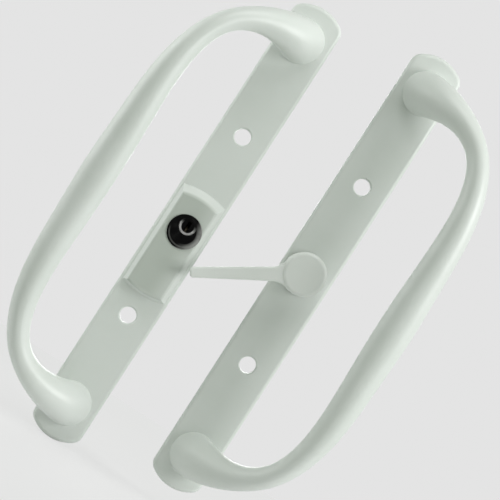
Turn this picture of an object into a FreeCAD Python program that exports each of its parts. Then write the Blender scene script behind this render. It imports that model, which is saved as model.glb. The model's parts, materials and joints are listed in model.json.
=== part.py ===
import FreeCAD, Part
import math
import os

# Sliding patio door handle set, in millimetres.
# X runs across the plates, Z up along them, and the fronts face -Y.
# The plate backs lie on the plane Y = 0, which is the door face.
# "Height" below is the distance in front of that plane.
# The origin is midway between the outside half's screw holes.

# How the two halves lie beside each other
HALF_SPACING = 60.3
HALF_RISE = 10.8

# Cover plate, the same on both halves
PLATE_WIDTH = 26.4
PLATE_LENGTH = 240.2
PLATE_HEIGHT = 5.5
PLATE_CROWN = 0.8
PLATE_RISE = 1.6
PLATE_END_RADIUS = 19.0
PLATE_CORNER_RADIUS = 5.5
PLATE_EDGE_ROUND = 1.8
PLATE_RIM = 2.4
PLATE_SKIN = 2.4
RIB_THICKNESS = 1.8
RIB_SETBACK = 0.6
RIB_SPACING = 50.0

# Through-screw holes
SCREW_SPACING = 100.0
SCREW_HOLE = 8.0
SCREW_CHAMFER = 0.6
SCREW_BOSS_WALL = 3.0

# Hand grip, a bow from one foot to the other
FOOT_INSET = 18.6
FOOT_NEAR_MARGIN = 1.2
FOOT_FAR_MARGIN = 3.2
FOOT_LENGTH = 22.4
FOOT_CORE = 9.0
FOOT_CORE_HEIGHT = 13.0
GRIP_OFFSET = 46.3
GRIP_PROJECTION = 40.0
GRIP_SIDE_POWER = 2.2
GRIP_END_POWER = 5.1
GRIP_RISE_POWER = 0.6
GRIP_BELLY = 17.0
GRIP_WAIST = 10.0
GRIP_DEPTH = 14.0
WAIST_PLACE = 0.87
BELLY_POWER = 1.4
ARM_PLACE = 0.75
ARM_POWER = 1.5
GRIP_STATIONS = 7
GRIP_GATHER = 1.7
SECTION_POINTS = 10

# Raised pad for the lock, outside half
PAD_MARGIN = 1.6
PAD_HEIGHT = 4.5
PAD_TOP = 19.2
PAD_BOTTOM = 38.7
PAD_SIDE_SLOPE = 2.4
PAD_TOP_SLOPE = 5.2
PAD_BOTTOM_SLOPE = 1.8
PAD_END_RADIUS = 30.0
PAD_EDGE_ROUND = 1.2

# Lock axis, shared by the key plug and the thumb lever
LOCK_OFFSET = 1.1
LOCK_RISE = 0.5

# Lock cylinder
CYLINDER_DIAMETER = 16.0
CYLINDER_FIT = 0.1
CYLINDER_LENGTH = 24.0
CYLINDER_RIM = 0.35
CYLINDER_BEVEL = 0.3
CYLINDER_RIM_HEIGHT = 0.6
CYLINDER_FACE_STEP = 2.6
CYLINDER_FACE_RISE = 0.9
CYLINDER_SEAT_WALL = 1.2
INDEX_MARK_WIDTH = 1.0
INDEX_MARK_LENGTH = 2.0
INDEX_MARK_DEPTH = 0.3
INDEX_MARK_DROP = 5.0

# Horseshoe clip that holds the cylinder in the pad
CLIP_THICKNESS = 1.1
CLIP_WIDTH = 2.0
CLIP_GROOVE = 0.9
CLIP_INSET = 0.3
CLIP_PLAY = 0.05
CLIP_ROOM = 0.2

# Key plug
PLUG_DIAMETER = 7.0
PLUG_DROP = 3.0
PLUG_HEAD = 8.4
PLUG_HEAD_DEPTH = 1.6
PLUG_RIM_RISE = 0.3
PLUG_RIM_WIDTH = 1.3
PLUG_BEVEL = 0.3
PLUG_DISH = 1.0
PLUG_TAIL = 3.0
KEYWAY_WIDTH = 1.8
KEYWAY_TOP = 2.4
KEYWAY_END = 6.0
RUNNING_FIT = 0.05

# Pin stacks
PIN_COUNT = 5
PIN_PITCH = 3.0
FIRST_PIN = 3.4
PIN_DIAMETER = 2.2
PIN_FIT = 0.05
PIN_CODES = (1, 4, 2, 5, 3)
PIN_SHORTEST = 2.6
PIN_CODE_STEP = 0.3
PIN_TIP = 0.6
DRIVER_LENGTH = 2.4
COVER_WIDTH = 3.4
COVER_THICKNESS = 1.1
COVER_END = 2.0
SPRING_WIRE = 0.34
SPRING_TURNS = 3.0
SPRING_SEGMENTS = 8

# Rear clip of the plug
PLUG_CLIP_THICKNESS = 0.7
PLUG_CLIP_WIDTH = 1.9
PLUG_CLIP_GROOVE = 0.6

# Flat tails that reach into the lock, and their cross pins
TAIL_WIDTH = 5.2
TAIL_THICKNESS = 1.5
TAIL_REACH = 46.0
TAIL_SEAT = 3.2
TAIL_PIN = 1.2
TAIL_FIT = 0.03

# Thumb lever, inside half
LEVER_HUB = 21.2
LEVER_TOP = 17.2
LEVER_HUB_ROUND = 2.0
LEVER_REACH = 53.8
LEVER_ROOT_WIDTH = 7.4
LEVER_TIP_WIDTH = 5.0
LEVER_THICKNESS = 4.4
LEVER_TOP_SETBACK = 0.8
LEVER_EDGE_ROUND = 1.0
LEVER_TIP_ROUND = 1.7
LEVER_ROOT_RADIUS = 10.0
LEVER_DROOP = 31.6
LEVER_SHAFT = 8.0
LEVER_SHAFT_TAIL = 4.5

# Bush, spring washer and ring on the lever shaft
BUSH_WALL = 1.0
BUSH_FLANGE = 16.0
BUSH_FLANGE_THICKNESS = 0.8
BUSH_FIT = 0.02
BUSH_SEAT_MARGIN = 0.6
BUSH_BOSS_WALL = 2.2
WASHER_OUTER = 12.0
WASHER_THICKNESS = 0.4
WASHER_DISH = 0.4
RING_THICKNESS = 0.8
RING_WIDTH = 2.2
RING_GROOVE = 0.8
RING_OPENING = 40.0

FRONT = FreeCAD.Vector(0, -1, 0)
UP = FreeCAD.Vector(0, 0, 1)
ACROSS = FreeCAD.Vector(1, 0, 0)

CROWN_RADIUS = (PLATE_WIDTH ** 2 / 4 + PLATE_CROWN ** 2) / (2 * PLATE_CROWN)
FOOT_RISE = PLATE_LENGTH / 2 - FOOT_INSET
FOOT_WIDTH = PLATE_WIDTH - FOOT_NEAR_MARGIN - FOOT_FAR_MARGIN
FOOT_OFFSET = (FOOT_FAR_MARGIN - FOOT_NEAR_MARGIN) / 2
PAD_FACE = PLATE_HEIGHT + PAD_HEIGHT
SKIN_BACK = PLATE_HEIGHT - PLATE_SKIN
CYLINDER_RADIUS = CYLINDER_DIAMETER / 2
CYLINDER_BORE = CYLINDER_RADIUS + CYLINDER_FIT
CYLINDER_FACE = PAD_FACE + CYLINDER_RIM_HEIGHT + CYLINDER_FACE_RISE
CYLINDER_BACK = PAD_FACE - CYLINDER_LENGTH
CYLINDER_Z = LOCK_RISE - PLUG_DROP
CLIP_FRONT = CLIP_INSET + CLIP_THICKNESS
CLIP_INNER = CYLINDER_RADIUS - CLIP_GROOVE + CLIP_PLAY
CLIP_OUTER = CLIP_INNER + CLIP_WIDTH
PLUG_RADIUS = PLUG_DIAMETER / 2
PLUG_BORE = PLUG_RADIUS + RUNNING_FIT
PLUG_SEAT = CYLINDER_FACE - PLUG_HEAD_DEPTH
PLUG_BACK = CYLINDER_BACK - PLUG_CLIP_THICKNESS - PLUG_TAIL
PIN_RADIUS = PIN_DIAMETER / 2
PIN_BORE = PIN_RADIUS + PIN_FIT
PIN_LONGEST = PIN_SHORTEST + PIN_CODE_STEP * max(PIN_CODES)
CHAMBER_FLOOR = PLUG_DROP + CYLINDER_RADIUS - COVER_THICKNESS
LEVER_BOTTOM = PLATE_HEIGHT + BUSH_FLANGE_THICKNESS + RUNNING_FIT
LEVER_ARM_TOP = LEVER_TOP - LEVER_TOP_SETBACK
SHAFT_RADIUS = LEVER_SHAFT / 2
BUSH_INNER = SHAFT_RADIUS + RUNNING_FIT
BUSH_OUTER = BUSH_INNER + BUSH_WALL
RING_BACK = CLIP_INSET
RING_FRONT = RING_BACK + RING_THICKNESS
WASHER_FRONT = RING_FRONT + WASHER_THICKNESS + WASHER_DISH
SHAFT_BACK = -LEVER_SHAFT_TAIL


def rod(radius, back, front, x, z):
    """Round bar along Y between two heights."""
    start = FreeCAD.Vector(x, -back, z)
    return Part.makeCylinder(radius, front - back, start, FRONT)


def block(x_low, x_high, back, front, z_low, z_high):
    """Square block between two heights."""
    corner = FreeCAD.Vector(x_low, -front, z_low)
    return Part.makeBox(x_high - x_low, front - back, z_high - z_low, corner)


def turned(profile, x, z):
    """Solid turned about an axis along Y from (radius, height) points."""
    points = [FreeCAD.Vector(x + radius, -height, z) for radius, height in profile]
    face = Part.Face(Part.makePolygon(points + points[:1]))
    return face.revolve(FreeCAD.Vector(x, 0, z), FRONT, 360)


def edges_at(shape, height):
    """Edges that lie flat at one height."""
    found = []
    for edge in shape.Edges:
        box = edge.BoundBox
        if abs(box.YMin + height) < 1e-4 and abs(box.YMax + height) < 1e-4:
            found.append(edge)
    return found


def edges_along_depth(shape):
    """Straight edges that run along Y."""
    found = []
    for edge in shape.Edges:
        box = edge.BoundBox
        if box.XLength < 1e-4 and box.ZLength < 1e-4:
            found.append(edge)
    return found


def plate_block(inset, height):
    """Plate outline, moved in by an amount and raised to a height."""
    half_width = PLATE_WIDTH / 2 - inset
    crown = PLATE_LENGTH / 2 - inset
    radius = PLATE_END_RADIUS - inset
    shoulder = crown - radius + math.sqrt(radius ** 2 - half_width ** 2)
    left_low = FreeCAD.Vector(-half_width, 0, PLATE_RISE - shoulder)
    left_high = FreeCAD.Vector(-half_width, 0, PLATE_RISE + shoulder)
    right_low = FreeCAD.Vector(half_width, 0, PLATE_RISE - shoulder)
    right_high = FreeCAD.Vector(half_width, 0, PLATE_RISE + shoulder)
    outline = Part.Wire([
        Part.makeLine(left_low, left_high),
        Part.Arc(left_high, FreeCAD.Vector(0, 0, PLATE_RISE + crown), right_high).toShape(),
        Part.makeLine(right_high, right_low),
        Part.Arc(right_low, FreeCAD.Vector(0, 0, PLATE_RISE - crown), left_low).toShape(),
    ])
    solid = Part.Face(outline).extrude(FRONT * height)
    return solid.makeFillet(PLATE_CORNER_RADIUS - inset, edges_along_depth(solid))


def crowned_plate():
    """Plate with its front slightly domed across and its front edge rounded."""
    middle = FreeCAD.Vector(0, CROWN_RADIUS - PLATE_HEIGHT, PLATE_RISE - PLATE_LENGTH)
    dome = Part.makeCylinder(CROWN_RADIUS, 2 * PLATE_LENGTH, middle, UP)
    body = plate_block(0, PLATE_HEIGHT).common(dome)
    front = min(body.Faces, key=lambda face: face.CenterOfMass.y)
    return body.makeFillet(PLATE_EDGE_ROUND, front.OuterWire.Edges)


def grip_place(along):
    """Centre of the bow: along runs from -1 at the low foot to +1 at the high one."""
    rise = math.sin(math.radians(90 * along))
    reach = max(0.0, 1 - abs(rise) ** GRIP_END_POWER) ** (1 / GRIP_SIDE_POWER)
    start = PLATE_HEIGHT - PLATE_CROWN - PLATE_SKIN / 2
    offset = FOOT_OFFSET + (GRIP_OFFSET - FOOT_OFFSET) * reach
    height = start + (GRIP_PROJECTION - start) * reach ** GRIP_RISE_POWER
    return FreeCAD.Vector(-offset, -height, PLATE_RISE + FOOT_RISE * rise), reach, abs(rise)


def grip_section(along):
    """Oval section of the bow, square to its path."""
    centre, reach, rise = grip_place(along)
    root = max(0.0, 1 - reach / ARM_PLACE) ** ARM_POWER
    swell = max(0.0, 1 - (rise / WAIST_PLACE) ** BELLY_POWER)
    half_width = GRIP_WAIST + (FOOT_LENGTH - GRIP_WAIST) * root
    half_width = (half_width + (GRIP_BELLY - GRIP_WAIST) * swell) / 2
    half_depth = (GRIP_DEPTH + (FOOT_WIDTH - GRIP_DEPTH) * root) / 2
    if abs(along) == 1:
        way = FRONT * -along
        flat = UP * -along
    else:
        step = (1 - abs(along)) / 50
        way = grip_place(along + step)[0] - grip_place(along - step)[0]
        way.normalize()
        flat = way.cross(FRONT)
        flat.normalize()
    deep = flat.cross(way)
    points = []
    for number in range(SECTION_POINTS):
        turn = 2 * math.pi * number / SECTION_POINTS
        points.append(centre + flat * (half_width * math.cos(turn)) + deep * (half_depth * math.sin(turn)))
    curve = Part.BSplineCurve()
    curve.interpolate(points, PeriodicFlag=True)
    return Part.Wire(curve.toShape())


def grip():
    """The whole bow as one smooth body through its sections."""
    sections = []
    for number in range(-GRIP_STATIONS, GRIP_STATIONS + 1):
        share = abs(number) / GRIP_STATIONS
        along = math.copysign(1 - (1 - share) ** GRIP_GATHER, number)
        sections.append(grip_section(along))
    return Part.makeLoft(sections, True, False)


def casting():
    """Plate with bow, cored back, screw bosses and ribs, before its lock seat.

    The bow stands to the left, as on the outside half; the inside half is its mirror image.
    """
    body = crowned_plate().fuse(grip())
    inner = PLATE_WIDTH / 2 - PLATE_RIM
    hole = SCREW_HOLE / 2
    sink = [(0, 0), (hole, 0), (hole, PLATE_HEIGHT - SCREW_CHAMFER),
            (hole + 2 * SCREW_CHAMFER, PLATE_HEIGHT + SCREW_CHAMFER), (0, PLATE_HEIGHT + SCREW_CHAMFER)]
    kept = []
    removed = []
    for end in (-1, 1):
        rib_z = end * (SCREW_SPACING + RIB_SPACING) / 2
        kept.append(rod(hole + SCREW_BOSS_WALL, 0, PLATE_HEIGHT, 0, end * SCREW_SPACING / 2))
        kept.append(block(-inner, inner, RIB_SETBACK, PLATE_HEIGHT,
                          rib_z - RIB_THICKNESS / 2, rib_z + RIB_THICKNESS / 2))
        removed.append(turned(sink, 0, end * SCREW_SPACING / 2))
        removed.append(rod(FOOT_CORE / 2, 0, FOOT_CORE_HEIGHT, -FOOT_OFFSET, PLATE_RISE + end * FOOT_RISE))
    removed.append(plate_block(PLATE_RIM, SKIN_BACK).cut(kept))
    return body.cut(removed).removeSplitter()


def pad_outline(height, side_in, top_in, bottom_in):
    """Outline of the raised pad at one height."""
    half = PLATE_WIDTH / 2 - PAD_MARGIN - side_in
    top = PAD_TOP - top_in
    bottom = PAD_BOTTOM - bottom_in
    crown = PAD_END_RADIUS - math.sqrt(PAD_END_RADIUS ** 2 - half ** 2)
    left_low = FreeCAD.Vector(-half, -height, crown - bottom)
    left_high = FreeCAD.Vector(-half, -height, top - crown)
    right_low = FreeCAD.Vector(half, -height, crown - bottom)
    right_high = FreeCAD.Vector(half, -height, top - crown)
    return Part.Wire([
        Part.makeLine(left_low, left_high),
        Part.Arc(left_high, FreeCAD.Vector(0, -height, top), right_high).toShape(),
        Part.makeLine(right_high, right_low),
        Part.Arc(right_low, FreeCAD.Vector(0, -height, -bottom), left_low).toShape(),
    ])


def exterior_handle():
    """Outside half: casting with the pad and the cylinder seat."""
    foot = pad_outline(PLATE_HEIGHT - PLATE_CROWN, 0, 0, 0)
    face = pad_outline(PAD_FACE, PAD_SIDE_SLOPE, PAD_TOP_SLOPE, PAD_BOTTOM_SLOPE)
    pad = Part.makeLoft([foot, face], True, True)
    pad = pad.makeFillet(PAD_EDGE_ROUND, edges_at(pad, PAD_FACE))
    seat = rod(CYLINDER_BORE + CYLINDER_SEAT_WALL, CLIP_FRONT, PLATE_HEIGHT, LOCK_OFFSET, CYLINDER_Z)
    body = casting().fuse([pad, seat])
    bore = rod(CYLINDER_BORE, 0, PAD_FACE + PAD_HEIGHT, LOCK_OFFSET, CYLINDER_Z)
    room = CLIP_OUTER + CLIP_ROOM
    clip_room = rod(room, 0, CLIP_FRONT, LOCK_OFFSET, CYLINDER_Z)
    leg_room = block(LOCK_OFFSET - room, LOCK_OFFSET + room, 0, CLIP_FRONT, CYLINDER_Z - room, CYLINDER_Z)
    return body.cut([bore, clip_room, leg_room]).removeSplitter()


def pin_heights():
    """Heights of the pin stacks along the plug."""
    return [CYLINDER_FACE - FIRST_PIN - PIN_PITCH * number for number in range(PIN_COUNT)]


def lock_cylinder():
    """Round black body with plug bore, pin chambers and clip groove."""
    rim = CYLINDER_RADIUS + CYLINDER_RIM
    rim_top = PAD_FACE + CYLINDER_RIM_HEIGHT
    face = rim - CYLINDER_FACE_STEP
    groove = CYLINDER_RADIUS - CLIP_GROOVE
    bevel = CYLINDER_BEVEL
    profile = [(0, CYLINDER_BACK), (CYLINDER_RADIUS, CYLINDER_BACK),
               (CYLINDER_RADIUS, CLIP_INSET - CLIP_PLAY), (groove, CLIP_INSET - CLIP_PLAY),
               (groove, CLIP_FRONT + CLIP_PLAY), (CYLINDER_RADIUS, CLIP_FRONT + CLIP_PLAY),
               (CYLINDER_RADIUS, PAD_FACE), (rim, PAD_FACE), (rim, rim_top - bevel), (rim - bevel, rim_top),
               (face, CYLINDER_FACE), (0, CYLINDER_FACE)]
    body = turned(profile, LOCK_OFFSET, CYLINDER_Z)
    removed = [rod(PLUG_BORE, CYLINDER_BACK, CYLINDER_FACE, LOCK_OFFSET, LOCK_RISE),
               rod(PLUG_HEAD / 2 + RUNNING_FIT, PLUG_SEAT - RUNNING_FIT, CYLINDER_FACE,
                   LOCK_OFFSET, LOCK_RISE)]
    for height in pin_heights():
        floor = FreeCAD.Vector(LOCK_OFFSET, -height, LOCK_RISE - CHAMBER_FLOOR)
        removed.append(Part.makeCylinder(PIN_BORE, CHAMBER_FLOOR, floor, UP))
    removed.append(cover_block())
    mark_z = LOCK_RISE - INDEX_MARK_DROP
    mark = block(LOCK_OFFSET - INDEX_MARK_WIDTH / 2, LOCK_OFFSET + INDEX_MARK_WIDTH / 2,
                 CYLINDER_FACE - INDEX_MARK_DEPTH, CYLINDER_FACE,
                 mark_z - INDEX_MARK_LENGTH / 2, mark_z + INDEX_MARK_LENGTH / 2)
    removed.append(mark)
    return body.cut(removed)


def cover_block():
    """Room for the chamber cover, open at the bottom of the cylinder."""
    heights = pin_heights()
    return block(LOCK_OFFSET - COVER_WIDTH / 2, LOCK_OFFSET + COVER_WIDTH / 2,
                 heights[-1] - COVER_END, heights[0] + COVER_END,
                 LOCK_RISE - CHAMBER_FLOOR - 2 * COVER_THICKNESS, LOCK_RISE - CHAMBER_FLOOR)


def chamber_cover():
    """Strip that closes the pin chambers, flush with the cylinder."""
    strip = cover_block().common(rod(CYLINDER_RADIUS, CYLINDER_BACK, PAD_FACE, LOCK_OFFSET, CYLINDER_Z))
    groove = rod(CYLINDER_RADIUS, CLIP_INSET - CLIP_PLAY, CLIP_FRONT + CLIP_PLAY, LOCK_OFFSET, CYLINDER_Z)
    core = rod(CYLINDER_RADIUS - CLIP_GROOVE, CLIP_INSET - CLIP_PLAY, CLIP_FRONT + CLIP_PLAY,
               LOCK_OFFSET, CYLINDER_Z)
    return strip.cut(groove.cut(core))


def cylinder_clip():
    """Horseshoe clip, open downwards, bearing on the seat behind the pad."""
    ring = rod(CLIP_OUTER, CLIP_INSET, CLIP_FRONT, LOCK_OFFSET, CYLINDER_Z)
    ring = ring.cut(rod(CLIP_INNER, CLIP_INSET, CLIP_FRONT, LOCK_OFFSET, CYLINDER_Z))
    low = CYLINDER_Z - CLIP_OUTER
    mouth = block(LOCK_OFFSET - CLIP_INNER, LOCK_OFFSET + CLIP_INNER, CLIP_INSET, CLIP_FRONT,
                  low, CYLINDER_Z)
    legs = [block(LOCK_OFFSET + start, LOCK_OFFSET + start + CLIP_WIDTH, CLIP_INSET, CLIP_FRONT,
                  low, CYLINDER_Z) for start in (-CLIP_OUTER, CLIP_INNER)]
    return ring.cut(mouth).fuse(legs).removeSplitter()


def key_plug():
    """Turning plug with its dished head, keyway, pin holes and tail slot."""
    head = PLUG_HEAD / 2
    rim_top = CYLINDER_FACE + PLUG_RIM_RISE
    dish = head - PLUG_RIM_WIDTH
    groove = PLUG_RADIUS - PLUG_CLIP_GROOVE
    clip_front = CYLINDER_BACK
    clip_back = CYLINDER_BACK - PLUG_CLIP_THICKNESS
    profile = [(0, PLUG_BACK), (PLUG_RADIUS, PLUG_BACK), (PLUG_RADIUS, clip_back - RUNNING_FIT),
               (groove, clip_back - RUNNING_FIT), (groove, clip_front), (PLUG_RADIUS, clip_front),
               (PLUG_RADIUS, PLUG_SEAT), (head, PLUG_SEAT), (head, rim_top - PLUG_BEVEL),
               (head - PLUG_BEVEL, rim_top), (dish + PLUG_BEVEL, rim_top), (dish, rim_top - PLUG_BEVEL),
               (dish, rim_top - PLUG_DISH), (0, rim_top - PLUG_DISH)]
    body = turned(profile, LOCK_OFFSET, LOCK_RISE)
    removed = [block(LOCK_OFFSET - KEYWAY_WIDTH / 2, LOCK_OFFSET + KEYWAY_WIDTH / 2,
                     PLUG_BACK + KEYWAY_END + PLUG_CLIP_THICKNESS, rim_top,
                     LOCK_RISE - dish, LOCK_RISE + KEYWAY_TOP)]
    for height in pin_heights():
        start = FreeCAD.Vector(LOCK_OFFSET, -height, LOCK_RISE - PLUG_DIAMETER)
        removed.append(Part.makeCylinder(PIN_BORE, PLUG_RADIUS + PIN_LONGEST + PIN_FIT, start, UP))
    body = body.cut(removed)
    slot = tail_block(LOCK_OFFSET, LOCK_RISE, PLUG_BACK, TAIL_FIT)
    return body.cut([slot, tail_pin(LOCK_OFFSET, LOCK_RISE, PLUG_BACK, PLUG_RADIUS, TAIL_FIT)])


def key_pins():
    """Lower pins, each cut for its place on the key, ends flush with the plug."""
    shapes = []
    for code, height in zip(PIN_CODES, pin_heights()):
        length = PIN_SHORTEST + PIN_CODE_STEP * code
        point = FreeCAD.Vector(LOCK_OFFSET, -height, LOCK_RISE - PLUG_RADIUS)
        shaft = Part.makeCylinder(PIN_RADIUS, length - PIN_TIP, point, UP)
        neck = point + UP * (length - PIN_TIP)
        tip = Part.makeCone(PIN_RADIUS, PIN_RADIUS - PIN_TIP, PIN_TIP, neck, UP)
        reach = rod(PLUG_RADIUS, height - PIN_PITCH, height + PIN_PITCH, LOCK_OFFSET, LOCK_RISE)
        shapes.append(shaft.fuse(tip).common(reach))
    return shapes


def driver_pins():
    """Upper pins, resting just outside the plug."""
    shapes = []
    for height in pin_heights():
        top = LOCK_RISE - PLUG_BORE
        start = FreeCAD.Vector(LOCK_OFFSET, -height, top - DRIVER_LENGTH)
        shapes.append(Part.makeCylinder(PIN_RADIUS, DRIVER_LENGTH, start, UP))
    return shapes


def driver_springs():
    """Small coil springs between the drivers and the chamber cover."""
    low = LOCK_RISE - CHAMBER_FLOOR
    high = LOCK_RISE - PLUG_BORE - DRIVER_LENGTH
    mean = PIN_RADIUS - SPRING_WIRE
    half = SPRING_WIRE / 2
    steps = int(SPRING_TURNS * SPRING_SEGMENTS)
    climb = (high - low - SPRING_WIRE) / steps
    shapes = []
    for height in pin_heights():
        sections = []
        for number in range(steps + 1):
            turn = 2 * math.pi * number / SPRING_SEGMENTS
            outward = FreeCAD.Vector(math.cos(turn), math.sin(turn), 0)
            centre = FreeCAD.Vector(LOCK_OFFSET, -height, low + half + climb * number) + outward * mean
            corners = [centre + outward * (half * a) + UP * (half * b)
                       for a, b in ((-1, -1), (1, -1), (1, 1), (-1, 1))]
            sections.append(Part.makePolygon(corners + corners[:1]))
        shapes.append(Part.makeLoft(sections, True, True))
    return shapes


def open_ring(inner, outer, back, front, x, z, opening):
    """Flat spring ring with a gap in its lower side."""
    ring = rod(outer, back, front, x, z).cut(rod(inner, back, front, x, z))
    half = math.radians(opening / 2)
    corner = FreeCAD.Vector(x, -back, z)
    left = corner + FreeCAD.Vector(-math.sin(half), 0, -math.cos(half)) * (2 * outer)
    right = corner + FreeCAD.Vector(math.sin(half), 0, -math.cos(half)) * (2 * outer)
    wedge = Part.Face(Part.makePolygon([corner, left, right, corner]))
    return ring.cut(wedge.extrude(FRONT * (front - back)))


def plug_clip():
    """Ring behind the cylinder that keeps the plug in."""
    inner = PLUG_RADIUS - PLUG_CLIP_GROOVE + TAIL_FIT
    return open_ring(inner, inner + PLUG_CLIP_WIDTH, CYLINDER_BACK - PLUG_CLIP_THICKNESS - RUNNING_FIT,
                     CYLINDER_BACK - RUNNING_FIT, LOCK_OFFSET, LOCK_RISE, RING_OPENING)


def tail_block(x, z, back, gap):
    """Flat tail from its seat in a shaft, with an all-round gap."""
    half = TAIL_WIDTH / 2 + gap
    thin = TAIL_THICKNESS / 2 + gap
    return block(x - thin, x + thin, -TAIL_REACH, back + TAIL_SEAT, z - half, z + half)


def tail_pin(x, z, back, radius, gap):
    """Cross pin through a shaft and its tail."""
    length = 2 * math.sqrt(radius ** 2 - (TAIL_PIN / 2) ** 2)
    start = FreeCAD.Vector(x - length / 2, -(back + TAIL_SEAT / 2), z)
    return Part.makeCylinder(TAIL_PIN / 2 + gap, length, start, ACROSS)


def tail(x, z, back, radius):
    """Tail with its pin hole and a tapered end."""
    body = tail_block(x, z, back, 0)
    ends = [edge for edge in body.Edges
            if edge.BoundBox.YMin > TAIL_REACH - 1e-4 and edge.BoundBox.ZLength < 1e-4]
    body = body.makeChamfer(TAIL_THICKNESS, ends)
    return body.cut(tail_pin(x, z, back, radius, 0))


def interior_handle():
    """Inside half: casting with the bush seat for the lever."""
    body = casting().mirror(FreeCAD.Vector(0, 0, 0), ACROSS)
    x = -LOCK_OFFSET
    boss = rod(BUSH_OUTER + BUSH_FIT + BUSH_BOSS_WALL, WASHER_FRONT, PLATE_HEIGHT, x, LOCK_RISE)
    seat = rod(BUSH_FLANGE / 2 + BUSH_SEAT_MARGIN, SKIN_BACK, PLATE_HEIGHT, x, LOCK_RISE)
    body = body.fuse([boss, seat])
    bore = rod(BUSH_OUTER + BUSH_FIT, 0, PLATE_HEIGHT, x, LOCK_RISE)
    return body.cut(bore).removeSplitter()


def lever_bush():
    """Flanged plastic bush that the lever turns in."""
    top = PLATE_HEIGHT + BUSH_FLANGE_THICKNESS
    profile = [(BUSH_INNER, WASHER_FRONT), (BUSH_OUTER, WASHER_FRONT), (BUSH_OUTER, PLATE_HEIGHT),
               (BUSH_FLANGE / 2, PLATE_HEIGHT), (BUSH_FLANGE / 2, top), (BUSH_INNER, top)]
    return turned(profile, -LOCK_OFFSET, LOCK_RISE)


def lever_outline():
    """Tapered arm and hub seen from the front, arm along +X, about the lever axis."""
    hub = LEVER_HUB / 2
    root = LEVER_ROOT_RADIUS
    high = FreeCAD.Vector(0, 0, LEVER_ROOT_WIDTH / 2)
    tip = FreeCAD.Vector(LEVER_REACH, 0, LEVER_TIP_WIDTH / 2)
    way = tip - high
    way.normalize()
    out = FRONT.cross(way)
    edge = high.dot(out)
    centre = out * (edge + root) + way * math.sqrt((hub + root) ** 2 - (edge + root) ** 2)
    inward = centre * (-1 / centre.Length)
    on_hub = centre + inward * root
    on_arm = centre - out * root
    between = inward - out
    on_bend = centre + between * (root / between.Length)

    def below(point):
        return FreeCAD.Vector(point.x, 0, -point.z)

    return Part.Wire([
        Part.Arc(on_hub, FreeCAD.Vector(-hub, 0, 0), below(on_hub)).toShape(),
        Part.Arc(below(on_hub), below(on_bend), below(on_arm)).toShape(),
        Part.makeLine(below(on_arm), below(tip)),
        Part.makeLine(below(tip), tip),
        Part.makeLine(tip, on_arm),
        Part.Arc(on_arm, on_bend, on_hub).toShape(),
    ])


def lever_place(shape):
    """Turn a lever piece from along +X to its rest angle on the inside half."""
    placed = shape.copy()
    placed.rotate(FreeCAD.Vector(0, 0, 0), FRONT, 180 + LEVER_DROOP)
    placed.translate(FreeCAD.Vector(-LOCK_OFFSET, 0, LOCK_RISE))
    return placed


def thumb_lever():
    """Thumb lever with rounded hub, arm and turning shaft."""
    hub = LEVER_HUB / 2
    arm = Part.Face(lever_outline()).extrude(FRONT * LEVER_THICKNESS)
    corners = [edge for edge in edges_along_depth(arm) if edge.BoundBox.XMin > LEVER_REACH - LEVER_TIP_ROUND]
    arm = arm.makeFillet(LEVER_TIP_ROUND, corners)
    arm.translate(FRONT * (LEVER_ARM_TOP - LEVER_THICKNESS))
    rims = edges_at(arm, LEVER_ARM_TOP) + edges_at(arm, LEVER_ARM_TOP - LEVER_THICKNESS)
    arm = arm.makeFillet(LEVER_EDGE_ROUND, rims)
    groove = SHAFT_RADIUS - RING_GROOVE
    profile = [(0, SHAFT_BACK), (SHAFT_RADIUS, SHAFT_BACK), (SHAFT_RADIUS, RING_BACK - RUNNING_FIT),
               (groove, RING_BACK - RUNNING_FIT), (groove, RING_FRONT), (SHAFT_RADIUS, RING_FRONT),
               (SHAFT_RADIUS, LEVER_BOTTOM), (hub, LEVER_BOTTOM), (hub, LEVER_TOP), (0, LEVER_TOP)]
    body = turned(profile, 0, 0)
    body = body.makeFillet(LEVER_HUB_ROUND, edges_at(body, LEVER_TOP))
    body = body.fuse(arm)
    slot = tail_block(0, 0, SHAFT_BACK, TAIL_FIT)
    return lever_place(body.cut([slot, tail_pin(0, 0, SHAFT_BACK, SHAFT_RADIUS, TAIL_FIT)]))


def spring_washer():
    """Dished spring washer that takes up the play behind the plate."""
    outer = WASHER_OUTER / 2
    dish = RING_FRONT + WASHER_DISH
    profile = [(BUSH_INNER, RING_FRONT), (outer, dish), (outer, dish + WASHER_THICKNESS),
               (BUSH_INNER, RING_FRONT + WASHER_THICKNESS)]
    return turned(profile, -LOCK_OFFSET, LOCK_RISE)


def lever_ring():
    """Retaining ring in the groove of the lever shaft."""
    inner = SHAFT_RADIUS - RING_GROOVE + TAIL_FIT
    ring = open_ring(inner, inner + RING_WIDTH, RING_BACK, RING_FRONT, 0, 0, RING_OPENING)
    return lever_place(ring)


def save(name, shape):
    """One solid per file, named as its piece."""
    solid = shape.Solids[0] if len(shape.Solids) == 1 else None
    if solid is None or not solid.isValid():
        raise ValueError("%s is not one sound solid" % name)
    solid.exportStep(os.path.join("parts", name + ".step"))


def inside(shape):
    """Move a piece of the inside half to where that half lies."""
    shape.translate(FreeCAD.Vector(HALF_SPACING, 0, HALF_RISE))
    return shape


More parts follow.
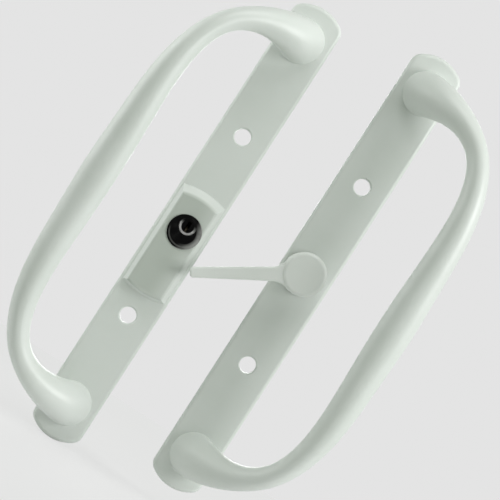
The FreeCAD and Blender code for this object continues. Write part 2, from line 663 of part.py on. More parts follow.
def main():
    os.makedirs("parts", exist_ok=True)
    save("exterior_handle", exterior_handle())
    save("lock_cylinder", lock_cylinder())
    save("chamber_cover", chamber_cover())
    save("cylinder_clip", cylinder_clip())
    save("key_plug", key_plug())
    save("plug_clip", plug_clip())
    save("key_tail", tail(LOCK_OFFSET, LOCK_RISE, PLUG_BACK, PLUG_RADIUS))
    save("key_tail_pin", tail_pin(LOCK_OFFSET, LOCK_RISE, PLUG_BACK, PLUG_RADIUS, 0))
    for name, shapes in (("key_pin", key_pins()), ("driver_pin", driver_pins()),
                         ("driver_spring", driver_springs())):
        for number, shape in enumerate(shapes):
            save("%s_%d" % (name, number + 1), shape)
    save("interior_handle", inside(interior_handle()))
    save("lever_bush", inside(lever_bush()))
    save("thumb_lever", inside(thumb_lever()))
    save("spring_washer", inside(spring_washer()))
    save("lever_ring", inside(lever_ring()))
    save("lever_tail", inside(lever_place(tail(0, 0, SHAFT_BACK, SHAFT_RADIUS))))
    save("lever_tail_pin", inside(lever_place(tail_pin(0, 0, SHAFT_BACK, SHAFT_RADIUS, 0))))


main()
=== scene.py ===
"""Looks of a sliding patio door handle set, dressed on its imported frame.

Lengths are metres. X runs across the plates, Z up along them, and the fronts face -Y.
"""

import json
import math

import bmesh
import bpy
from bpy.props import FloatProperty, FloatVectorProperty, PointerProperty
from mathutils import Matrix, Vector


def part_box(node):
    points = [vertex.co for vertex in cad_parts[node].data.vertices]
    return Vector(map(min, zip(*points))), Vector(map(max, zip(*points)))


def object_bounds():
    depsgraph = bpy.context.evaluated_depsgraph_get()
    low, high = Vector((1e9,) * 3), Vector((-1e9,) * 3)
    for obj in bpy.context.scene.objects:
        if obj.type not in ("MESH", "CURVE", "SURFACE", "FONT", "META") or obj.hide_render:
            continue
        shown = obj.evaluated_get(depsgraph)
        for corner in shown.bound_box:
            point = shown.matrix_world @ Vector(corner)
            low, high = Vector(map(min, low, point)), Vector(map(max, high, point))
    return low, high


bl_info = {
    "name": "Patio Door Handle Set",
    "version": (1, 0, 0),
    "blender": (4, 5, 0),
    "location": "3D View > Sidebar > Handle Set",
    "description": "Finishes, stage and camera for a sliding patio door handle set",
    "category": "Object",
}

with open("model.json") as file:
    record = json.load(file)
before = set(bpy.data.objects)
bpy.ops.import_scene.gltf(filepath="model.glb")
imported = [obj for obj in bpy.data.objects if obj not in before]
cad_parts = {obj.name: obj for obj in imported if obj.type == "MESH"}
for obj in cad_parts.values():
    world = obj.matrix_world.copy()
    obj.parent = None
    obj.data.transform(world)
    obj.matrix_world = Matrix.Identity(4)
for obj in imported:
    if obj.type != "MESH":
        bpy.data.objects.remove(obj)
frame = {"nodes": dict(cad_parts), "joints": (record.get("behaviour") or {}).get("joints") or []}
CAD_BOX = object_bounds()
NODES = frame["nodes"]
TURN_AXES = {joint["name"]: Vector(joint["pos_m"]) for joint in frame["joints"]}
FLOOR_Z = CAD_BOX[0].z

FORWARD = (0.0, -1.0, 0.0)
BACKWARD = (0.0, 1.0, 0.0)
ACROSS = (1.0, 0.0, 0.0)
UPWARD = (0.0, 0.0, 1.0)
WITHOUT_DEPTH = (1.0, 0.0, 1.0)


def colour_property(name, description, default):
    """A colour that shows in the panel."""
    return FloatVectorProperty(name=name, description=description, default=default,
                               subtype="COLOR", size=3, min=0.0, max=1.0)


def length_property(name, description, default):
    """A length in metres."""
    return FloatProperty(name=name, description=description, default=default,
                         unit="LENGTH", precision=5)


def share_property(name, description, default):
    """A share between nothing and all."""
    return FloatProperty(name=name, description=description, default=default,
                         subtype="FACTOR", min=0.0, max=1.0)


def angle_property(name, description, degrees):
    """An angle, given in degrees and kept in radians."""
    return FloatProperty(name=name, description=description, default=math.radians(degrees),
                         subtype="ANGLE")


def place_property(name, description, default):
    """A point in the frame."""
    return FloatVectorProperty(name=name, description=description, default=default,
                               subtype="TRANSLATION", unit="LENGTH", size=3)


def power_property(name, description, default):
    """The power of a lamp."""
    return FloatProperty(name=name, description=description, default=default,
                         unit="POWER", min=0.0)


class HandleCoatLook(bpy.types.PropertyGroup):
    """The baked white coat on both castings and the lever, with painted shade on the pad's face
    and a painted lighter tone on the lever.
    """

    colour: colour_property("Coat", "Colour of the white coat", (0.775, 0.805, 0.78))
    thin_colour: colour_property("Thin coat", "Colour where the coat lies thin",
                                 (0.71, 0.75, 0.71))
    # Painted light: the lever gets a lighter copy of the same white coat, standing in for the
    # extra light it catches.
    lever_lit_colour: colour_property("Lever", "Colour of the lever's fresher coat",
                                  (0.865, 0.885, 0.865))
    lever_lit_thin: colour_property("Lever, thin", "Colour where the lever's coat lies thin",
                                (0.80, 0.83, 0.80))
    # Painted shade: a greyer tone laid on the face of the lock's pad, darkest at its left.
    pad_shade_colour: colour_property("Pad", "Greyer colour of the handled face of the lock's pad",
                                (0.53, 0.57, 0.525))
    pad_height: length_property("Pad height", "How far the face of the pad stands forward", 0.010)
    pad_top: length_property("Pad top", "Upper end of the pad", 0.0192)
    pad_bottom: length_property("Pad bottom", "Lower end of the pad, below the lock", 0.0387)
    pad_half: length_property("Pad half width", "Half the width of the pad", 0.0128)
    back_colour: colour_property("Cored side", "Colour of the coat inside the cored back",
                                 (0.62, 0.65, 0.61))
    roughness: share_property("Roughness", "Satin of the coat", 0.38)
    cloud_size: length_property("Clouding", "Size of the faint clouds in the coat", 0.028)
    peel_size: length_property("Orange peel", "Size of the coat's ripples", 0.0016)
    peel_depth: length_property("Ripple depth", "Height of the coat's ripples", 0.00002)
    fleck_size: length_property("Flecks", "Size of the powder's flecks", 0.0005)


class HandleLockLook(bpy.types.PropertyGroup):
    """The black lock body and its plug."""

    black: colour_property("Black", "Colour of the black plating", (0.002, 0.002, 0.0022))
    rubbed: colour_property("Rubbed", "Colour where the plating is rubbed", (0.012, 0.012, 0.012))
    roughness: share_property("Roughness", "Gloss of the plating", 0.20)
    ring_pitch: length_property("Turning marks", "Distance between the turning marks", 0.00022)
    ring_depth: length_property("Mark depth", "Depth of the turning marks", 0.000004)
    # Painted reflection: a lighter grey laid on the side of the lock's shoulder that faces the
    # right lamp.
    polished: colour_property("Polished", "Grey of the shoulder where hands polish it",
                              (0.33, 0.33, 0.32))
    shoulder_inner: length_property("Shoulder inside", "Radius at which the polish begins", 0.0050)
    shoulder_outer: length_property("Shoulder outside", "Outer radius of the shoulder", 0.0080)
    # Painted highlight: a grey line along the lower outer edge of the lock's shoulder.
    edge_highlight_grey: colour_property("Worn edge", "Grey of the rim's worn lower edge",
                               (0.10, 0.10, 0.098))
    # Direction that the painted reflection on the shoulder faces.
    sheen_side: FloatVectorProperty(name="Handled side",
                                      description="Side of the shoulder that hands polish",
                                      default=(0.977, 0.0, -0.21), subtype="DIRECTION", size=3)
    # Painted highlight: bright metal laid only on the lower side of the plug's rim.
    highlight_nickel: colour_property("Nickel", "Bright metal of the plug's rim", (0.40, 0.40, 0.39))
    rim_inner: length_property("Rim inside", "Inner radius of the plug's bright rim", 0.0029)


class HandleMetalLook(bpy.types.PropertyGroup):
    """Bare metals and plastic of the small pieces."""

    brass: colour_property("Brass", "Colour of the pins and the cover strip", (0.78, 0.58, 0.27))
    oiled_brass: colour_property("Oiled brass", "Colour of the key pins under graphite",
                                 (0.10, 0.085, 0.06))
    steel: colour_property("Spring steel", "Colour of springs, clips and washer",
                           (0.52, 0.52, 0.54))
    zinc: colour_property("Zinc", "Colour of the zinc plated tails", (0.66, 0.67, 0.66))
    zinc_dull: colour_property("Dull zinc", "Colour of the dull zinc grains", (0.50, 0.52, 0.53))
    nylon: colour_property("Nylon", "Colour of the bush", (0.80, 0.79, 0.73))
    drawn_size: length_property("Drawing lines", "Distance between drawing lines", 0.00025)
    grain_size: length_property("Zinc grain", "Size of the zinc grains", 0.0022)


class HandleStageLook(bpy.types.PropertyGroup):
    """Background, floor, lamps and camera."""

    background: colour_property("Background", "Colour behind the object", (0.775, 0.775, 0.775))
    ambient: colour_property("Ambient", "Light from all round", (0.103, 0.136, 0.093))
    floor_colour: colour_property("Floor", "Colour of the floor", (0.80, 0.80, 0.80))
    floor_pale: colour_property("Floor as seen", "Pale colour that the camera sees on the floor",
                                (0.826, 0.826, 0.826))
    floor_share: share_property("Paling", "Share of the pale colour on the floor", 0.78)
    floor_size: length_property("Floor size", "Side of the floor", 0.7)
    aim_x: length_property("Aim across", "Point across the plates in the middle of the picture",
                           0.0319)
    aim_z: length_property("Aim up", "Point up the plates in the middle of the picture", 0.0071)
    lean: angle_property("Lean", "Angle by which the handles lean in the picture", 32.83)
    side_step: angle_property("Side step", "Angle by which the camera stands to the left", 1.65)
    distance: length_property("Distance", "Camera distance", 1.0)
    field: length_property("Field", "Width of the picture at the plates", 0.2374)
    right_place: place_property("Right lamp place", "Where the right lamp stands",
                                (0.784, -0.388, 0.313))
    right_size: length_property("Right lamp size", "Side of the right lamp", 0.45)
    right_power: power_property("Right lamp", "Power of the right lamp", 5.75)
    top_place: place_property("Top lamp place", "Where the top lamp hangs",
                              (-0.015, -0.167, 0.422))
    top_size: length_property("Top lamp size", "Side of the top lamp", 0.26)
    top_power: power_property("Top lamp", "Power of the top lamp", 0.66)
    back_place: place_property("Back lamp place", "Where the back lamp stands", (0.10, 0.90, 0.20))
    back_size: length_property("Back lamp size", "Side of the back lamp", 0.40)
    back_power: power_property("Back lamp", "Power of the back lamp", 2.3)
    left_place: place_property("Left lamp place", "Where the left lamp stands",
                               (-0.285, -0.037, 0.093))
    left_size: length_property("Left lamp size", "Side of the left lamp", 0.2)
    left_power: power_property("Left lamp", "Power of the left lamp", 0.42)


class Wire:
    """A shader value that takes part in Python arithmetic; each step adds a Math node."""

    def __init__(self, finish, socket):
        self.finish = finish
        self.socket = socket

    def step(self, operation, first, second):
        return self.finish.add("ShaderNodeMath", {"operation": operation}, {0: first, 1: second})

    def __add__(self, other):
        return self.step("ADD", self, other)

    def __radd__(self, other):
        return self.step("ADD", other, self)

    def __sub__(self, other):
        return self.step("SUBTRACT", self, other)

    def __rsub__(self, other):
        return self.step("SUBTRACT", other, self)

    def __mul__(self, other):
        return self.step("MULTIPLY", self, other)

    def __rmul__(self, other):
        return self.step("MULTIPLY", other, self)


class Finish:
    """A node tree under construction."""

    def __init__(self, tree):
        self.tree = tree

    def add(self, kind, settings=None, sockets=None, out=0):
        """New node: its settings first, then the values or links of its sockets."""
        node = self.tree.nodes.new(kind)
        for name, value in (settings or {}).items():
            setattr(node, name, value)
        for name, value in (sockets or {}).items():
            self.feed(node.inputs[name], value)
        return Wire(self, node.outputs[out])

    def feed(self, socket, value):
        """Link a wire to a socket, or set the socket's own value."""
        if isinstance(value, Wire):
            self.tree.links.new(value.socket, socket)
        else:
            socket.default_value = value

    def mix(self, share, first, second):
        """Colour between two colours; a Mix node also has sockets for numbers and vectors."""
        share_in, first_in, second_in, colour_out = 0, 6, 7, 2
        return self.add("ShaderNodeMix", {"data_type": "RGBA"},
                        {share_in: share, first_in: first, second_in: second}, colour_out)

    def noise(self, place, size, detail):
        """Noise whose lumps have about the given size."""
        return self.add("ShaderNodeTexNoise", None,
                        {"Vector": place, "Scale": 1.0 / size, "Detail": detail})

    def ramp(self, value, low, high):
        """Smooth step of a value from 0 at low to 1 at high."""
        return self.add("ShaderNodeMapRange", {"interpolation_type": "SMOOTHSTEP"},
                        {"Value": value, "From Min": low, "From Max": high})

    def bump(self, height, depth):
        """Normal of a surface whose relief has the given depth."""
        return self.add("ShaderNodeBump", None,
                        {"Height": height, "Distance": depth, "Strength": 1.0})

    def vector(self, operation, *sockets, out="Vector"):
        """Vector Math on points and directions."""
        return self.add("ShaderNodeVectorMath", {"operation": operation},
                        dict(enumerate(sockets)), out)


class SurfaceFinish(Finish):
    """A material with its surface shader and the piece's own coordinates."""

    def __init__(self, name, **constants):
        self.material = bpy.data.materials.new(name)
        self.material.use_nodes = True
        super().__init__(self.material.node_tree)
        self.surface = self.tree.nodes["Principled BSDF"]
        for socket, value in constants.items():
            self.surface.inputs[socket.replace("_", " ")].default_value = value
        self.place = self.add("ShaderNodeTexCoord", out="Object")

    def give(self, **sockets):
        """Feed the surface shader."""
        for socket, value in sockets.items():
            self.feed(self.surface.inputs[socket.replace("_", " ")], value)
        return self.material

    def facing(self, axis):
        """How far the surface faces along an axis, from -1 to 1."""
        normal = self.add("ShaderNodeNewGeometry", out="Normal")
        return self.vector("DOT_PRODUCT", normal, axis, out="Value")

    def along(self, axis):
        """The piece's coordinate along an axis."""
        return self.vector("DOT_PRODUCT", self.place, axis, out="Value")

    def radius_from(self, centre):
        """Distance from an axis that runs along Y through a point."""
        offset = self.vector("SUBTRACT", self.place, centre)
        return self.vector("LENGTH", self.vector("MULTIPLY", offset, WITHOUT_DEPTH), out="Value")

    def stretched(self, scale):
        """The piece's coordinates, stretched along the axes."""
        return self.vector("MULTIPLY", self.place, scale)


def rgba(colour):
    """A colour with full cover."""
    return (*colour, 1.0)


def dress(finish_material, *names):
    """Give CAD pieces a finish in place of their plain one."""
    for name in names:
        for slot in NODES[name].material_slots:
            slot.material = finish_material


def like(prefix):
    """Names of the pieces that share a beginning."""
    return sorted(name for name in NODES if name.startswith(prefix))


# Painted shade on the pad: depths below its face at which the shade starts and is full, blends at
# its edges, and fade.
PAD_SHADE_START, PAD_SHADE_FULL = 0.0016, 0.0002
PAD_TOP_BLEND, PAD_BOTTOM_BLEND, PAD_SIDE_BLEND = 0.006, 0.004, 0.002
PAD_RIGHT_FADE = 0.75


def painted_pad_shade(finish, look):
    """Share of the painted shade on the face of the lock's pad, fading to the right."""
    height, across, up = finish.along(FORWARD), finish.along(ACROSS), finish.along(UPWARD)
    raised = finish.ramp(height, look.pad_height - PAD_SHADE_START, look.pad_height - PAD_SHADE_FULL)
    below_top = 1.0 - finish.ramp(up, look.pad_top - PAD_TOP_BLEND, look.pad_top)
    above_bottom = finish.ramp(up, -look.pad_bottom, PAD_BOTTOM_BLEND - look.pad_bottom)
    right_of_bow = finish.ramp(across, -look.pad_half - PAD_SIDE_BLEND, -look.pad_half)
    fading = 1.0 - PAD_RIGHT_FADE * finish.ramp(across, 0.0, look.pad_half)
    return raised * below_top * above_bottom * right_of_bow * fading


# Coat: where its marks set in, then their shares of the colour, the relief and the roughness.
CLOUD_RANGE, FLECK_RANGE, BACK_RANGE = (0.35, 0.70), (0.60, 0.75), (0.55, 0.95)
CLOUD_DETAIL, FLECK_DETAIL, RIPPLE_DETAIL = 3.0, 1.0, 2.0
CLOUD_TINT, FLECK_TINT = 0.45, 0.12
BACK_TINT, BACK_CLOUD_TINT = 0.55, 0.35
FLECK_RELIEF, BACK_FLECK_RELIEF = 0.25, 0.8
CLOUD_DULLING, FLECK_DULLING, BACK_DULLING = 0.06, 0.10, 0.12


def white_coat(name, look, full, thin, pad=False):
    """Satin powder coat: faint clouds, fine flecks and orange peel, duller in the cored back, and
    painted shade on the pad's face where asked.
    """
    finish = SurfaceFinish(name, Specular_IOR_Level=0.5)
    clouds = finish.ramp(finish.noise(finish.place, look.cloud_size, CLOUD_DETAIL), *CLOUD_RANGE)
    flecks = finish.ramp(finish.noise(finish.place, look.fleck_size, FLECK_DETAIL), *FLECK_RANGE)
    back = finish.ramp(finish.facing(BACKWARD), *BACK_RANGE)
    colour = finish.mix(CLOUD_TINT * clouds + FLECK_TINT * flecks, rgba(full), rgba(thin))
    if pad:
        # Painted shade laid on the pad's face, darker towards its left.
        colour = finish.mix(painted_pad_shade(finish, look), colour, rgba(look.pad_shade_colour))
    cored = back * (BACK_TINT + BACK_CLOUD_TINT * clouds)
    colour = finish.mix(cored, colour, rgba(look.back_colour))
    ripples = finish.noise(finish.place, look.peel_size, RIPPLE_DETAIL)
    grit = FLECK_RELIEF * flecks + BACK_FLECK_RELIEF * back * flecks
    peel = finish.bump(ripples + grit, look.peel_depth)
    dulling = CLOUD_DULLING * clouds + FLECK_DULLING * flecks + BACK_DULLING * back
    return finish.give(Base_Color=colour, Roughness=look.roughness + dulling, Normal=peel)


# Plating: where smears, fronts and the side with the painted sheen set in, and the shares of the
# marks.
SMEAR_SIZE, SMEAR_DETAIL, SMEAR_RANGE = 0.004, 4.0, (0.45, 0.75)
FRONT_RANGE, SHEEN_SIDE_RANGE, SHEEN_FRONT_RANGE = (0.2, 0.9), (0.05, 0.40), (0.3, 0.8)
SMEAR_TINT, SMEAR_FRONT_TINT = 0.25, 0.35
SMEAR_DULLING, MARK_DULLING, HIGHLIGHT_DULLING = 0.10, 0.02, 0.08
SHOULDER_SMEARING, RIM_SMEARING = 0.4, 0.75
# Painted highlight line on the shoulder's lower edge: its inner and outer blends, and how far
# below the axis it reaches.
EDGE_INNER, EDGE_OUTER = (0.0014, 0.0009), (0.0007, 0.0003)  # inwards from the shoulder's radius
EDGE_DROP = (0.0, 0.004)  # below the lock's axis
# Painted highlight on the plug's rim: its blend and how far it reaches above and below the axis.
RIM_BLEND = 0.0003  # outwards from the rim's inner radius
RIM_DROP = (-0.0020, 0.0012)  # below the plug's axis


def black_plating(name, look, centre, rim=False):
    """Black plating with turning marks, for the lock body with painted sheen and a painted edge
    highlight on its shoulder, or for the plug with a painted highlight of bright metal on its rim.
    """
    finish = SurfaceFinish(name, Specular_IOR_Level=0.05, Coat_Roughness=0.16)
    radius = finish.radius_from(centre)
    drop = centre.z - finish.along(UPWARD)
    marks = finish.add("ShaderNodeMath", {"operation": "SINE"},
                       {0: radius * (math.tau / look.ring_pitch)})
    smears = finish.ramp(finish.noise(finish.place, SMEAR_SIZE, SMEAR_DETAIL), *SMEAR_RANGE)
    forward = finish.facing(FORWARD)
    front = finish.ramp(forward, *FRONT_RANGE)
    rubbing = smears * (SMEAR_TINT + SMEAR_FRONT_TINT * front)
    colour = finish.mix(rubbing, rgba(look.black), rgba(look.rubbed))
    roughness = look.roughness + SMEAR_DULLING * smears + MARK_DULLING * marks
    relief = finish.bump(marks * front, look.ring_depth)
    if rim:
        # Painted highlight: bright metal on the plug's rim, only on its lower side.
        band = finish.ramp(radius, look.rim_inner, look.rim_inner + RIM_BLEND)
        painted_highlight = finish.ramp(drop, *RIM_DROP) * band * front * (1.0 - RIM_SMEARING * smears)
        colour = finish.mix(painted_highlight, colour, rgba(look.highlight_nickel))
        return finish.give(Base_Color=colour, Roughness=roughness + HIGHLIGHT_DULLING * painted_highlight,
                           Metallic=painted_highlight, Normal=relief)
    clean = 1.0 - SHOULDER_SMEARING * smears
    # Painted highlight: a grey line along the shoulder's lower outer edge.
    line_start = finish.ramp(radius, *(look.shoulder_outer - inset for inset in EDGE_INNER))
    line_end = 1.0 - finish.ramp(radius, *(look.shoulder_outer - inset for inset in EDGE_OUTER))
    edge = line_start * line_end * finish.ramp(drop, *EDGE_DROP) * clean
    colour = finish.mix(edge, colour, rgba(look.edge_highlight_grey))
    # Painted reflection: lighter grey with a clear coat on the shoulder's side that faces the
    # lamp.
    sheen_side = finish.ramp(finish.facing(look.sheen_side), *SHEEN_SIDE_RANGE)
    painted_light = sheen_side * finish.ramp(forward, *SHEEN_FRONT_RANGE)
    painted_sheen = painted_light * finish.ramp(radius, look.shoulder_inner, look.shoulder_outer)
    colour = finish.mix(painted_sheen * clean, colour, rgba(look.polished))
    return finish.give(Base_Color=colour, Roughness=roughness, Coat_Weight=painted_sheen, Normal=relief)


# Bare metal: its stains and lines, and their shares of the colour and the roughness.
STAIN_SIZE, STAIN_DETAIL, STAIN_RANGE = 0.003, 3.0, (0.40, 0.75)
LINE_DETAIL, LINE_DEPTH, LINE_SHADE = 2.0, 0.000006, 0.72
LINE_TINT, STAIN_TINT = 0.5, 0.3
LINE_DULLING, STAIN_DULLING = 0.08, 0.12


def drawn_metal(name, colour, look, stretch, roughness):
    """Bare metal with fine drawing or turning lines along one direction."""
    finish = SurfaceFinish(name, Metallic=1.0)
    lines = finish.noise(finish.stretched(stretch), look.drawn_size, LINE_DETAIL)
    stains = finish.ramp(finish.noise(finish.place, STAIN_SIZE, STAIN_DETAIL), *STAIN_RANGE)
    darker = tuple(LINE_SHADE * channel for channel in colour)
    tone = finish.mix(LINE_TINT * lines + STAIN_TINT * stains, rgba(colour), rgba(darker))
    dulling = STAIN_DULLING * stains + LINE_DULLING * lines
    return finish.give(Base_Color=tone, Roughness=roughness + dulling,
                       Normal=finish.bump(lines, LINE_DEPTH))


# Zinc: its haze, and the shares of haze and grain in the colour, the relief and the roughness.
HAZE_SIZE, HAZE_DETAIL = 0.006, 4.0
GRAIN_TINT, HAZE_TINT = 0.6, 0.3
GRAIN_RELIEF, ZINC_DEPTH = 0.3, 0.00001
ZINC_ROUGHNESS, GRAIN_DULLING, HAZE_DULLING = 0.30, 0.15, 0.10


def zinc_plate(look):
    """Zinc plated steel strip with grains of differing brightness."""
    finish = SurfaceFinish("zinc_finish", Metallic=1.0)
    grains = finish.add("ShaderNodeTexVoronoi", {"feature": "F1"},
                        {"Vector": finish.place, "Scale": 1.0 / look.grain_size}, "Color")
    grain = finish.add("ShaderNodeSeparateColor", None, {"Color": grains}, "Red")
    haze = finish.noise(finish.place, HAZE_SIZE, HAZE_DETAIL)
    colour = finish.mix(GRAIN_TINT * grain + HAZE_TINT * haze,
                        rgba(look.zinc), rgba(look.zinc_dull))
    roughness = ZINC_ROUGHNESS + GRAIN_DULLING * grain + HAZE_DULLING * haze
    relief = finish.bump(haze + GRAIN_RELIEF * grain, ZINC_DEPTH)
    return finish.give(Base_Color=colour, Roughness=roughness, Normal=relief)


# Nylon: its skin, its flow marks and its roughness.
SKIN_SIZE, SKIN_DETAIL, SKIN_DEPTH = 0.0008, 3.0, 0.000015
FLOW_SIZE, FLOW_DETAIL, FLOW_TINT, FLOW_SHADE = 0.009, 2.0, 0.6, 0.90
NYLON_ROUGHNESS, SKIN_DULLING = 0.50, 0.15


def nylon_plastic(look):
    """Milky moulded nylon with a matt moulded skin."""
    finish = SurfaceFinish("nylon_finish", Subsurface_Weight=0.15, Subsurface_Scale=0.002)
    skin = finish.noise(finish.place, SKIN_SIZE, SKIN_DETAIL)
    flow = finish.noise(finish.place, FLOW_SIZE, FLOW_DETAIL)
    darker = tuple(FLOW_SHADE * channel for channel in look.nylon)
    colour = finish.mix(FLOW_TINT * flow, rgba(look.nylon), rgba(darker))
    return finish.give(Base_Color=colour, Roughness=NYLON_ROUGHNESS + SKIN_DULLING * skin,
                       Normal=finish.bump(skin, SKIN_DEPTH))


class HANDLE_OT_castings(bpy.types.Operator):
    """Coat the two handle castings and the thumb lever white"""

    bl_idname = "handle_set.castings"
    bl_label = "White Castings"

    def execute(self, context):
        look = context.scene.handle_coat
        outside = white_coat("outside_coat_finish", look, look.colour, look.thin_colour, pad=True)
        inside = white_coat("inside_coat_finish", look, look.colour, look.thin_colour)
        # Painted light: the lever's lighter copy of the white coat.
        lever = white_coat("lever_lit_coat_finish", look, look.lever_lit_colour, look.lever_lit_thin)
        dress(outside, "exterior_handle")
        dress(inside, "interior_handle")
        dress(lever, "thumb_lever")
        return {"FINISHED"}


class HANDLE_OT_lock(bpy.types.Operator):
    """Blacken the lock body and the key plug"""

    bl_idname = "handle_set.lock"
    bl_label = "Black Lock"

    def execute(self, context):
        look = context.scene.handle_lock
        low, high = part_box("lock_cylinder")
        dress(black_plating("lock_finish", look, (low + high) / 2), "lock_cylinder")
        dress(black_plating("plug_finish", look, TURN_AXES["key_turn"], rim=True), "key_plug")
        return {"FINISHED"}


# Scale of each kind of line along X, Y and Z; a small scale draws the lines out that way.
TURNED_LINES, ROLLED_LINES = (0.1, 0.1, 1.0), (1.0, 0.1, 1.0)
EVEN_GRAIN, PRESSED_LINES = (1.0, 1.0, 1.0), (1.0, 1.0, 0.15)


class HANDLE_OT_pin_stacks(bpy.types.Operator):
    """Give the pins and the cover strip brass, and the small springs steel"""

    bl_idname = "handle_set.pin_stacks"
    bl_label = "Pin Stacks"

    def execute(self, context):
        look = context.scene.handle_metal
        turned = drawn_metal("pin_finish", look.brass, look, TURNED_LINES, roughness=0.24)
        oiled = drawn_metal("key_pin_finish", look.oiled_brass, look, TURNED_LINES, roughness=0.45)
        rolled = drawn_metal("strip_finish", look.brass, look, ROLLED_LINES, roughness=0.34)
        coiled = drawn_metal("spring_finish", look.steel, look, EVEN_GRAIN, roughness=0.30)
        dress(oiled, *like("key_pin_"))
        dress(turned, *like("driver_pin_"))
        dress(rolled, "chamber_cover")
        dress(coiled, *like("driver_spring_"))
        return {"FINISHED"}


class HANDLE_OT_holders(bpy.types.Operator):
    """Give the clips, the ring, the washer and the bush their finishes"""

    bl_idname = "handle_set.holders"
    bl_label = "Clips and Bush"

    def execute(self, context):
        look = context.scene.handle_metal
        pressed = drawn_metal("clip_finish", look.steel, look, PRESSED_LINES, roughness=0.32)
        dress(pressed, "cylinder_clip", "plug_clip", "lever_ring", "spring_washer")
        dress(nylon_plastic(look), "lever_bush")
        return {"FINISHED"}


class HANDLE_OT_tails(bpy.types.Operator):
    """Plate the two flat tails and their cross pins with zinc"""

    bl_idname = "handle_set.tails"
    bl_label = "Tails"

    def execute(self, context):
        dress(zinc_plate(context.scene.handle_metal),
              "key_tail", "key_tail_pin", "lever_tail", "lever_tail_pin")
        return {"FINISHED"}


def picture_axes(stage):
    """Right, up and towards-camera directions of the photograph's view."""
    towards = Vector((-math.sin(stage.side_step), -math.cos(stage.side_step), 0.0))
    leaning = Vector((-math.sin(stage.lean), 0.0, math.cos(stage.lean)))
    right = leaning.cross(towards).normalized()
    return right, towards.cross(right), towards


def add_lamp(scene, name, place, aim, size, power):
    """Square soft lamp that faces a point."""
    data = bpy.data.lights.new(name, "AREA")
    data.size = size
    data.energy = power
    lamp = bpy.data.objects.new(name, data)
    lamp.location = place
    lamp.rotation_mode = "QUATERNION"
    lamp.rotation_quaternion = (aim - Vector(place)).to_track_quat("-Z", "Y")
    scene.collection.objects.link(lamp)


def seen_share(finish):
    """One for rays that see a surface, directly, mirrored or through something, else zero."""
    camera, glossy, through = (finish.add("ShaderNodeLightPath", out=ray) for ray in
                               ("Is Camera Ray", "Is Glossy Ray", "Is Transmission Ray"))
    return finish.add("ShaderNodeMath", {"operation": "ADD", "use_clamp": True},
                      {0: camera + glossy, 1: through})


# Stage: cells along the floor's side, its dust, its roughness and the camera's reach.
FLOOR_CELLS = 8
DUST_SIZE, DUST_DETAIL, DUST_SHADE = 0.02, 3.0, 0.985
FLOOR_ROUGHNESS, DUST_DULLING = 0.85, 0.05
CLIP_START, CLIP_END = 0.01, 20.0


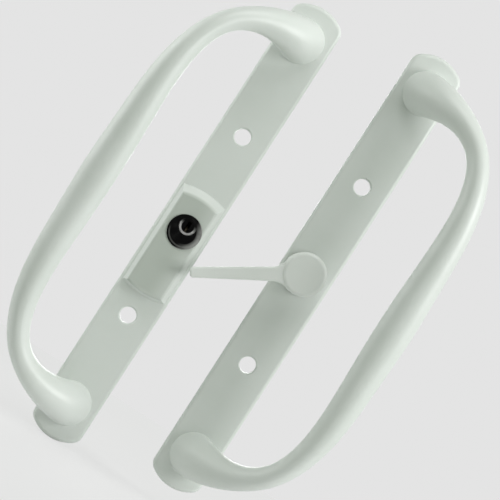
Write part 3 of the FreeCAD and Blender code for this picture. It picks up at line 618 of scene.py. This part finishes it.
class HANDLE_OT_stage(bpy.types.Operator):
    """Lay the floor, set the lamps and place the camera"""

    bl_idname = "handle_set.stage"
    bl_label = "Stage"

    def execute(self, context):
        scene = context.scene
        stage = scene.handle_stage
        aim = Vector((stage.aim_x, 0.0, stage.aim_z))
        self.lay_floor(scene, stage, aim)
        self.light(scene, stage)
        add_lamp(scene, "right_lamp", stage.right_place, aim, stage.right_size, stage.right_power)
        add_lamp(scene, "top_lamp", stage.top_place, aim, stage.top_size, stage.top_power)
        add_lamp(scene, "back_lamp", stage.back_place, aim, stage.back_size, stage.back_power)
        add_lamp(scene, "left_lamp", stage.left_place, aim, stage.left_size, stage.left_power)
        self.place_camera(scene, stage, aim)
        return {"FINISHED"}

    def lay_floor(self, scene, stage, aim):
        """Plain floor under the lowest point of the set."""
        mesh = bpy.data.meshes.new("floor")
        shape = bmesh.new()
        bmesh.ops.create_grid(shape, x_segments=FLOOR_CELLS, y_segments=FLOOR_CELLS,
                              size=stage.floor_size / 2)
        shape.to_mesh(mesh)
        shape.free()
        floor = bpy.data.objects.new("floor", mesh)
        floor.location = (aim.x, 0.0, FLOOR_Z)
        scene.collection.objects.link(floor)
        finish = SurfaceFinish("floor_finish", Specular_IOR_Level=0.1)
        dust = finish.noise(finish.place, DUST_SIZE, DUST_DETAIL)
        darker = tuple(DUST_SHADE * channel for channel in stage.floor_colour)
        colour = finish.mix(dust, rgba(stage.floor_colour), rgba(darker))
        roughness = FLOOR_ROUGHNESS + DUST_DULLING * dust
        mesh.materials.append(finish.give(Base_Color=colour, Roughness=roughness))
        pale = finish.add("ShaderNodeEmission", None, {"Color": rgba(stage.floor_pale)})
        lit = Wire(finish, finish.surface.outputs["BSDF"])
        both = finish.add("ShaderNodeMixShader", None,
                          {0: stage.floor_share * seen_share(finish), 1: lit, 2: pale})
        finish.feed(finish.tree.nodes["Material Output"].inputs["Surface"], both)

    def light(self, scene, stage):
        """Even light from all round, with a plain pale background for what is seen directly."""
        world = bpy.data.worlds.new("surroundings")
        world.use_nodes = True
        scene.world = world
        tree = world.node_tree
        finish = Finish(tree)
        lit = finish.add("ShaderNodeBackground", None, {"Color": rgba(stage.ambient)})
        pale = finish.add("ShaderNodeBackground", None, {"Color": rgba(stage.background)})
        both = finish.add("ShaderNodeMixShader", None, {0: seen_share(finish), 1: lit, 2: pale})
        finish.feed(tree.nodes["World Output"].inputs["Surface"], both)

    def place_camera(self, scene, stage, aim):
        """Camera at the photograph's viewing angle."""
        right, up, towards = picture_axes(stage)
        data = bpy.data.cameras.new("camera")
        data.lens = data.sensor_width * stage.distance / stage.field
        data.clip_start = CLIP_START
        data.clip_end = CLIP_END
        camera = bpy.data.objects.new("camera", data)
        turn = Matrix((right, up, towards)).transposed().to_4x4()
        camera.matrix_world = Matrix.Translation(aim + towards * stage.distance) @ turn
        scene.collection.objects.link(camera)
        scene.camera = camera
        scene.view_settings.view_transform = "Standard"


OPERATORS = (HANDLE_OT_castings, HANDLE_OT_lock, HANDLE_OT_pin_stacks, HANDLE_OT_holders,
             HANDLE_OT_tails, HANDLE_OT_stage)
LOOKS = {"handle_coat": HandleCoatLook, "handle_lock": HandleLockLook,
         "handle_metal": HandleMetalLook, "handle_stage": HandleStageLook}


class HANDLE_PT_set(bpy.types.Panel):
    """Operators and looks of the handle set"""

    bl_idname = "HANDLE_PT_set"
    bl_label = "Handle Set"
    bl_space_type = "VIEW_3D"
    bl_region_type = "UI"
    bl_category = "Handle Set"

    def draw(self, context):
        column = self.layout.column()
        for operator in OPERATORS:
            column.operator(operator.bl_idname)
        for name, group in LOOKS.items():
            look = getattr(context.scene, name)
            for setting in group.__annotations__:
                column.prop(look, setting)


CLASSES = (*LOOKS.values(), *OPERATORS, HANDLE_PT_set)


def register():
    for part in CLASSES:
        bpy.utils.register_class(part)
    for name, group in LOOKS.items():
        setattr(bpy.types.Scene, name, PointerProperty(type=group))


def unregister():
    for name in LOOKS:
        delattr(bpy.types.Scene, name)
    for part in reversed(CLASSES):
        bpy.utils.unregister_class(part)


def main():
    """Dress every piece and set the stage."""
    register()
    bpy.ops.handle_set.castings()
    bpy.ops.handle_set.lock()
    bpy.ops.handle_set.pin_stacks()
    bpy.ops.handle_set.holders()
    bpy.ops.handle_set.tails()
    bpy.ops.handle_set.stage()


if __name__ == "__main__":
    main()
